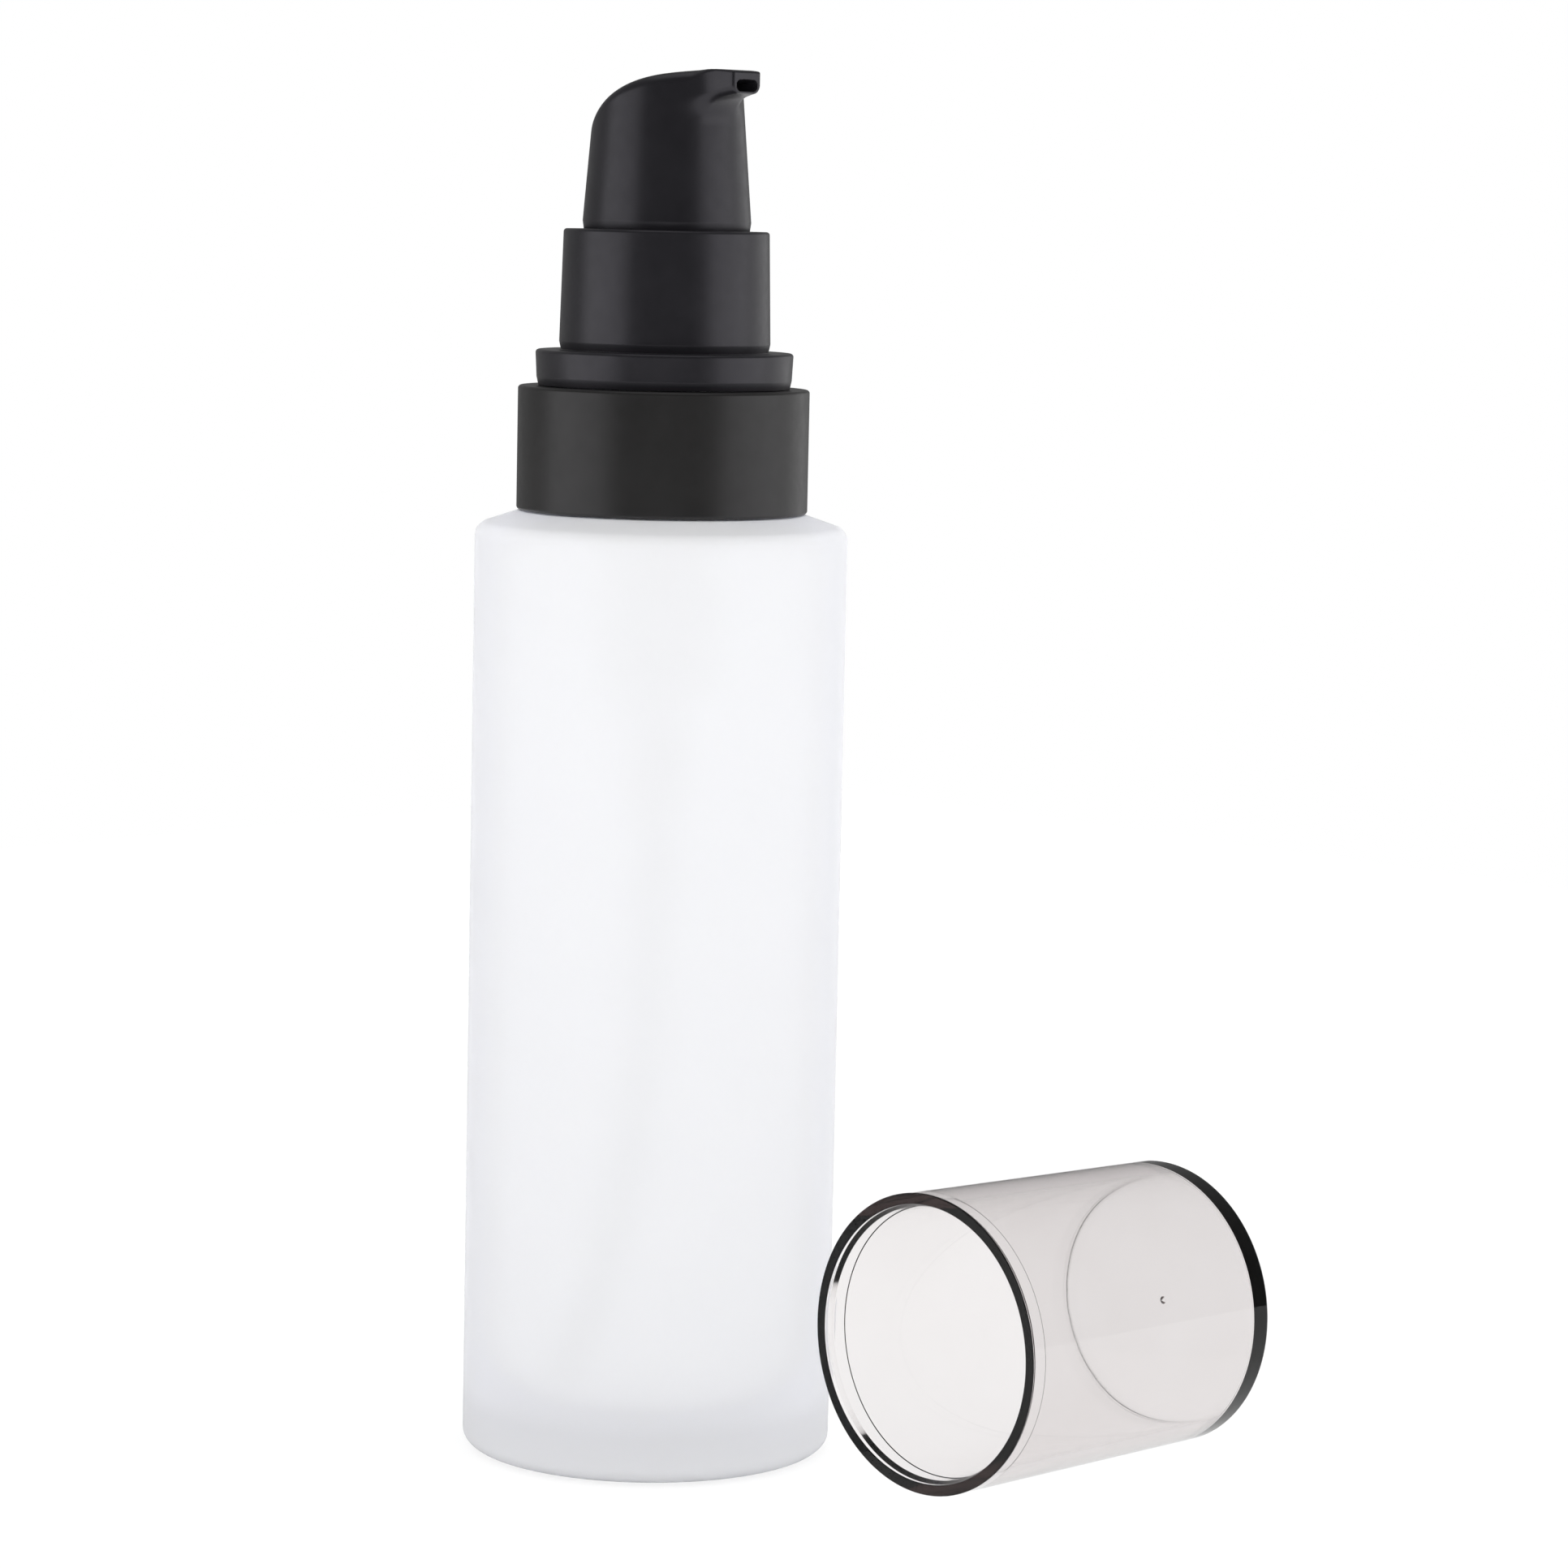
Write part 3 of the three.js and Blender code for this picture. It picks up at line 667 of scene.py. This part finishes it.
class Finish:
    """A material under way: its nodes, its shader, and what is laid on them.

    A grain is a pair: how many millimetres one speck spans, and how much finer detail it has.
    """

    def __init__(self, name, **sockets):
        self.material = bpy.data.materials.new(name)
        self.material.use_nodes = True
        self.nodes = self.material.node_tree.nodes
        self.join = self.material.node_tree.links.new
        self.inputs = self.nodes["Principled BSDF"].inputs
        for socket, value in sockets.items():
            self.inputs[socket.replace("_", " ")].default_value = value

    def add(self, kind, **settings):
        """A new node, with its sockets or its own settings set by name."""
        node = self.nodes.new(kind)
        for key, value in settings.items():
            if key in node.inputs:
                node.inputs[key].default_value = value
            else:
                setattr(node, key, value)
        return node

    def speckle(self, grain):
        """Noise of a grain, in the object's own space."""
        size, detail = grain
        place = self.add("ShaderNodeTexCoord")
        noise = self.add("ShaderNodeTexNoise", Scale=METRE / size, Detail=detail)
        noise.inputs["Roughness"].default_value = noise_roughness
        self.join(place.outputs["Object"], noise.inputs["Vector"])
        return noise.outputs["Fac"]

    def tint(self, value, dark, light):
        """A colour between dark and light, over the span that a noise lies in."""
        ramp = self.add("ShaderNodeValToRGB")
        stops = ramp.color_ramp.elements
        for stop, position, colour in zip(stops, (noise_low, noise_high), (dark, light)):
            stop.position = position
            stop.color = (*colour, 1)
        self.join(value, ramp.inputs["Fac"])
        return ramp.outputs["Color"]

    def colour(self, grain, dark, light):
        self.join(self.tint(self.speckle(grain), dark, light), self.inputs["Base Color"])

    def gloss(self, grain, low, high):
        """Roughness laid out between low and high, over the span that a noise lies in."""
        spread = self.add("ShaderNodeMapRange")
        numbers = {"From Min": noise_low, "From Max": noise_high, "To Min": low, "To Max": high}
        for socket, number in numbers.items():
            spread.inputs[socket].default_value = number
        self.join(self.speckle(grain), spread.inputs["Value"])
        self.join(spread.outputs["Result"], self.inputs["Roughness"])

    def roughen(self, height, depth, strength):
        """A tooth on the surface, its depth in millimetres."""
        bump = self.add("ShaderNodeBump", Strength=strength, Distance=depth / METRE)
        self.join(height, bump.inputs["Height"])
        self.join(bump.outputs["Normal"], self.inputs["Normal"])

    def tooth(self, grain, depth, strength):
        self.roughen(self.speckle(grain), depth, strength)

    def absorb(self, colour, density):
        """Light lost on the way through: the more, the longer the way and the darker the colour."""
        volume = self.add("ShaderNodeVolumeAbsorption", Color=(*colour, 1), Density=density)
        self.join(volume.outputs["Volume"], self.nodes["Material Output"].inputs["Volume"])


def paint_shade_by_height(finish):
    """Painted shade by height: the glass is painted darker over the solid base, and painted slowly lighter
    up the wall above it.
    """
    place = finish.add("ShaderNodeTexCoord")
    parts = finish.add("ShaderNodeSeparateXYZ")
    finish.join(place.outputs["Object"], parts.inputs[0])
    climb = finish.add("ShaderNodeMapRange")
    climb.inputs["From Max"].default_value = painted_shade_top / METRE
    finish.join(parts.outputs["Z"], climb.inputs["Value"])
    ramp = finish.add("ShaderNodeValToRGB")
    stops = ramp.color_ramp.elements
    while len(stops) < len(painted_shade_stops):
        stops.new(1)
    for stop, (height, grey) in zip(stops, painted_shade_stops):
        stop.position = height / painted_shade_top
        stop.color = (grey, grey, grey, 1)
    finish.join(climb.outputs["Result"], ramp.inputs["Fac"])
    return ramp.outputs["Color"]


def frosted_glass():
    """Etched glass: a fine even tooth scatters most of the light white, and the rest goes through blurred.

    Thick glass is greyer and a little bluer from absorption, and on top of that painted shade by height
    darkens the solid base and the lower wall.
    """
    finish = Finish("etched_glass", Transmission_Weight=0.43, IOR=1.1)
    frost = finish.tint(finish.speckle((9, 2)), (0.974, 0.976, 0.981), (0.983, 0.985, 0.989))
    frost_with_painted_shade = finish.add("ShaderNodeMix", data_type="RGBA", blend_type="MULTIPLY", Factor=1)
    finish.join(frost, frost_with_painted_shade.inputs[MIX_COLOUR_A])
    # painted shade by height, darkest over the solid base, multiplies the frost colour
    finish.join(paint_shade_by_height(finish), frost_with_painted_shade.inputs[MIX_COLOUR_B])
    finish.join(frost_with_painted_shade.outputs[MIX_COLOUR_RESULT], finish.inputs["Base Color"])
    finish.gloss(grain=(3, 2), low=0.72, high=0.78)
    finish.tooth(grain=(0.25, 3), depth=0.02, strength=0.25)
    finish.absorb(colour=(0.0, 0.03, 0.3), density=31.0)
    return finish.material


def smoke_clear():
    """Polished clear plastic with a warm grey tint that deepens with thickness."""
    weak_gloss = (0.45, 0.45, 0.45, 1)
    finish = Finish("smoke_clear_plastic", Transmission_Weight=1, IOR=1.5, Specular_Tint=weak_gloss)
    finish.colour(grain=(12, 2), dark=(0.985, 0.982, 0.98), light=(1, 1, 1))
    finish.gloss(grain=(5, 2), low=0.02, high=0.04)
    finish.tooth(grain=(6, 1), depth=0.02, strength=0.1)
    finish.absorb(colour=(0.32, 0.22, 0.21), density=122.0)
    return finish.material


def satin_black(name, dark, light, dullness, sheen):
    """Black moulded plastic: a fine satin tooth, faint cloudy mottling and a soft sheen."""
    finish = Finish(name, Specular_Tint=(*sheen, 1))
    finish.colour(grain=(4, 4), dark=dark, light=light)
    finish.gloss(grain=(1.5, 4), low=dullness - 0.03, high=dullness + 0.04)
    finish.tooth(grain=(0.12, 3), depth=0.012, strength=0.3)
    return finish.material


def moulded_white():
    """White pump plastic: waxy, with a soft mould texture."""
    finish = Finish("moulded_white", Transmission_Weight=0.7, IOR=1.1)
    finish.colour(grain=(6, 2), dark=(0.94, 0.94, 0.935), light=(0.97, 0.97, 0.965))
    finish.gloss(grain=(1, 2), low=0.4, high=0.5)
    finish.tooth(grain=(0.3, 3), depth=0.01, strength=0.25)
    return finish.material


def milky_tube():
    """Natural tube plastic: milky and partly see-through, with a faint grain."""
    finish = Finish("milky_tube", Transmission_Weight=0.8, IOR=1.1)
    finish.colour(grain=(5, 2), dark=(0.78, 0.79, 0.8), light=(0.82, 0.83, 0.84))
    finish.gloss(grain=(0.8, 2), low=0.3, high=0.42)
    finish.tooth(grain=(0.5, 2), depth=0.01, strength=0.2)
    return finish.material


def drawn_steel():
    """Spring steel: bright, with fine dull specks."""
    finish = Finish("drawn_steel", Metallic=1)
    finish.colour(grain=(0.6, 4), dark=(0.6, 0.61, 0.63), light=(0.74, 0.75, 0.77))
    finish.gloss(grain=(0.3, 4), low=0.22, high=0.36)
    finish.tooth(grain=(0.15, 2), depth=0.004, strength=0.3)
    return finish.material


def closed_foam():
    """Pressed foam of the neck gasket: pale, dull and finely pored."""
    finish = Finish("closed_foam", Roughness=0.85)
    place = finish.add("ShaderNodeTexCoord")
    pores = finish.add("ShaderNodeTexVoronoi", Scale=METRE / pore_size)
    finish.join(place.outputs["Object"], pores.inputs["Vector"])
    pale = finish.tint(pores.outputs["Distance"], (0.72, 0.72, 0.7), (0.84, 0.84, 0.82))
    finish.join(pale, finish.inputs["Base Color"])
    finish.roughen(pores.outputs["Distance"], depth=0.05, strength=0.5)
    return finish.material


# Studio

def seen_directly(tree):
    """One for rays from the camera, through a clear piece or off a gloss, and nought for the rest."""
    path = tree.nodes.new("ShaderNodeLightPath")
    seen = path.outputs["Is Camera Ray"]
    for ray in ("Is Transmission Ray", "Is Glossy Ray"):
        either = tree.nodes.new("ShaderNodeMath")
        either.operation = "MAXIMUM"
        tree.links.new(seen, either.inputs[0])
        tree.links.new(path.outputs[ray], either.inputs[1])
        seen = either.outputs[0]
    return seen


def white_floor():
    """A pale floor: matt grey for the light it sends back up, and white with a soft shadow where seen."""
    size = np.array([[-1, -1], [1, -1], [1, 1], [-1, 1]]) * floor_reach
    corners = np.concatenate([size, np.full((4, 1), -floor_drop)], 1) / METRE
    mesh = bpy.data.meshes.new("floor")
    mesh.from_pydata(corners.tolist(), [], [[0, 1, 2, 3]])
    floor = bpy.data.objects.new("floor", mesh)
    bpy.context.scene.collection.objects.link(floor)
    material = bpy.data.materials.new("pale_floor")
    material.use_nodes = True
    tree = material.node_tree
    tree.nodes.clear()
    output = tree.nodes.new("ShaderNodeOutputMaterial")
    matt = tree.nodes.new("ShaderNodeBsdfDiffuse")
    matt.inputs["Color"].default_value = (floor_grey, floor_grey, floor_grey, 1)
    shaded = tree.nodes.new("ShaderNodeBsdfDiffuse")
    shaded.inputs["Color"].default_value = (floor_seen_grey, floor_seen_grey, floor_seen_grey, 1)
    glow = tree.nodes.new("ShaderNodeEmission")
    glow.inputs["Strength"].default_value = floor_seen_glow
    both = tree.nodes.new("ShaderNodeAddShader")
    tree.links.new(shaded.outputs[0], both.inputs[0])
    tree.links.new(glow.outputs[0], both.inputs[1])
    pick = tree.nodes.new("ShaderNodeMixShader")
    tree.links.new(seen_directly(tree), pick.inputs[0])
    tree.links.new(matt.outputs[0], pick.inputs[1])
    tree.links.new(both.outputs[0], pick.inputs[2])
    tree.links.new(pick.outputs[0], output.inputs["Surface"])
    mesh.materials.append(material)


def white_surroundings():
    """White to the camera and through clear pieces; a plain room level for light.

    Reflections get dim surroundings, dimmest on the camera's side.
    """
    world = bpy.data.worlds.new("studio")
    bpy.context.scene.world = world
    world.use_nodes = True
    tree = world.node_tree
    path = tree.nodes.new("ShaderNodeLightPath")
    place = tree.nodes.new("ShaderNodeTexCoord")
    facing = tree.nodes.new("ShaderNodeVectorMath")
    facing.operation = "DOT_PRODUCT"
    facing.inputs[1].default_value = towards_camera
    tree.links.new(place.outputs["Generated"], facing.inputs[0])
    mirrored = tree.nodes.new("ShaderNodeMapRange")
    numbers = {
        "From Min": back_from,
        "From Max": front_from,
        "To Min": mirrored_back,
        "To Max": mirrored_front,
    }
    for socket, number in numbers.items():
        mirrored.inputs[socket].default_value = number
    tree.links.new(facing.outputs["Value"], mirrored.inputs["Value"])
    level = tree.nodes.new("ShaderNodeMix")
    level.inputs["A"].default_value = room_level
    tree.links.new(path.outputs["Is Glossy Ray"], level.inputs["Factor"])
    tree.links.new(mirrored.outputs["Result"], level.inputs["B"])
    for ray in ("Is Transmission Ray", "Is Camera Ray"):
        plain = tree.nodes.new("ShaderNodeMix")
        plain.inputs["B"].default_value = 1
        tree.links.new(path.outputs[ray], plain.inputs["Factor"])
        tree.links.new(level.outputs["Result"], plain.inputs["A"])
        level = plain
    background = tree.nodes["Background"]
    background.inputs["Color"].default_value = (1, 1, 1, 1)
    tree.links.new(level.outputs["Result"], background.inputs["Strength"])


def softbox(name, angle, height, distance, width, tall, brightness):
    """A rectangular lamp aimed at the bottle's middle.

    Its angle is to the right of the camera, seen from above, and its height is over the point it is
    aimed at. Its power is brightness x area x pi, so brightness is how bright it looks.
    """
    aim = upwards * lamp_aim_height
    turn = math.radians(angle)
    flat = math.cos(turn) * towards_camera + math.sin(turn) * across_camera
    spot = (aim + flat * distance + upwards * height) / METRE
    lamp = bpy.data.lights.new(name, "AREA")
    lamp.shape = "RECTANGLE"
    lamp.size = width / METRE
    lamp.size_y = tall / METRE
    lamp.energy = brightness * lamp.size * lamp.size_y * math.pi
    light = bpy.data.objects.new(name, lamp)
    light.location = spot
    light.rotation_mode = "QUATERNION"
    light.rotation_quaternion = Vector(aim / METRE - spot).to_track_quat("-Z", "Y")
    light.visible_camera = False
    light.visible_transmission = False
    bpy.context.scene.collection.objects.link(light)
    return light


def keep_lamps_off(piece, lamps):
    """Keeps lamps from lighting a piece, where their hard edges would show in its reflections."""
    unlit = bpy.data.collections.new("unlit_" + piece.name)
    unlit.objects.link(piece)
    unlit.collection_objects[0].light_linking.link_state = "EXCLUDE"
    for lamp in lamps:
        lamp.light_linking.receiver_collection = unlit


def photo_camera():
    """The photo's camera: on a circle about the bottle, then yawed, pitched and rolled."""
    ahead = math.sin(camera_yaw) * across_camera - math.cos(camera_yaw) * towards_camera
    side = math.cos(camera_yaw) * across_camera + math.sin(camera_yaw) * towards_camera
    forward = ahead * math.cos(camera_pitch) - upwards * math.sin(camera_pitch)
    up = ahead * math.sin(camera_pitch) + upwards * math.cos(camera_pitch)
    right = side * math.cos(camera_roll) + up * math.sin(camera_roll)
    top = up * math.cos(camera_roll) - side * math.sin(camera_roll)
    place = (towards_camera * camera_distance + upwards * camera_height) / METRE
    turn = Matrix(np.stack([right, top, -forward], 1).tolist()).to_4x4()
    data = bpy.data.cameras.new("photo_camera")
    data.sensor_width = sensor_width
    data.lens = sensor_width * focal_pixels / photo_width
    data.clip_start = camera_near / METRE
    camera = bpy.data.objects.new("photo_camera", data)
    camera.matrix_world = Matrix.Translation(place) @ turn
    bpy.context.scene.collection.objects.link(camera)
    bpy.context.scene.camera = camera


photo_camera()
white_floor()
white_surroundings()
beside_bottle = {"height": -10, "distance": 600, "tall": 440}
side_lamps = [
    softbox("left_softbox", angle=-71, width=640, brightness=1.32, **beside_bottle),
    softbox("right_softbox", angle=75, width=640, brightness=1.34, **beside_bottle),
    softbox("back_right_softbox", angle=128, width=480, brightness=0.66, **beside_bottle),
]
square_box = {"width": 600, "tall": 600}
softbox("overhead_softbox", angle=0, height=700, distance=60, brightness=0.6, **square_box)
front_fill = softbox("front_fill", angle=0, height=120, distance=900, brightness=1.5, **square_box)
front_fill.visible_glossy = False

glass = frosted_glass()
smoke = smoke_clear()
white = moulded_white()
steel = drawn_steel()
foam = closed_foam()
tube = milky_tube()
warm_black = {
    "dark": (0.009, 0.0086, 0.0083),
    "light": (0.011, 0.0105, 0.0101),
    "dullness": 0.36,
    "sheen": (0.83, 0.82, 0.85),
}
cool_black = {
    "dark": (0.0075, 0.0072, 0.0088),
    "light": (0.0093, 0.0089, 0.0108),
    "dullness": 0.34,
    "sheen": (0.94, 0.91, 1),
}
collar_black = satin_black("satin_black_collar", **warm_black)
sleeve_black = satin_black("satin_black_sleeve", **cool_black)
head_black = satin_black("satin_black_head", **cool_black)

make_piece("glass_bottle", bottle_skin(), "bottle", "bottle", glass)
clear_cap = make_piece("smoke_overcap", overcap_skin(), "overcap", "overcap", smoke)
clear_cap.visible_shadow = False
clear_cap.visible_diffuse = False
keep_lamps_off(clear_cap, side_lamps)
make_piece("satin_collar", collar_skin(), "closure", "outer_collar", collar_black)
make_piece("satin_sleeve", sleeve_skin(), "closure", "guide_sleeve", sleeve_black)
make_piece("press_head", head_skin(), "head", "actuator", head_black)
make_piece("bent_dip_tube", dip_tube_skin(), "pump", "dip_tube", tube)
spring = make_piece("coil_spring", spring_skin(), "pump", "return_spring", steel)
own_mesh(spring)

inside_finishes = {
    "neck_gasket": foam,
    "screw_closure": white,
    "pump_housing": white,
    "lock_ring": white,
    "stem": white,
    "piston_rod": white,
    "piston": white,
    "ball_retainer": white,
    "inlet_ball": steel,
}
for node, finish in inside_finishes.items():
    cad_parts[node].material_slots[0].material = finish

bpy.context.scene.view_settings.view_transform = "Standard"
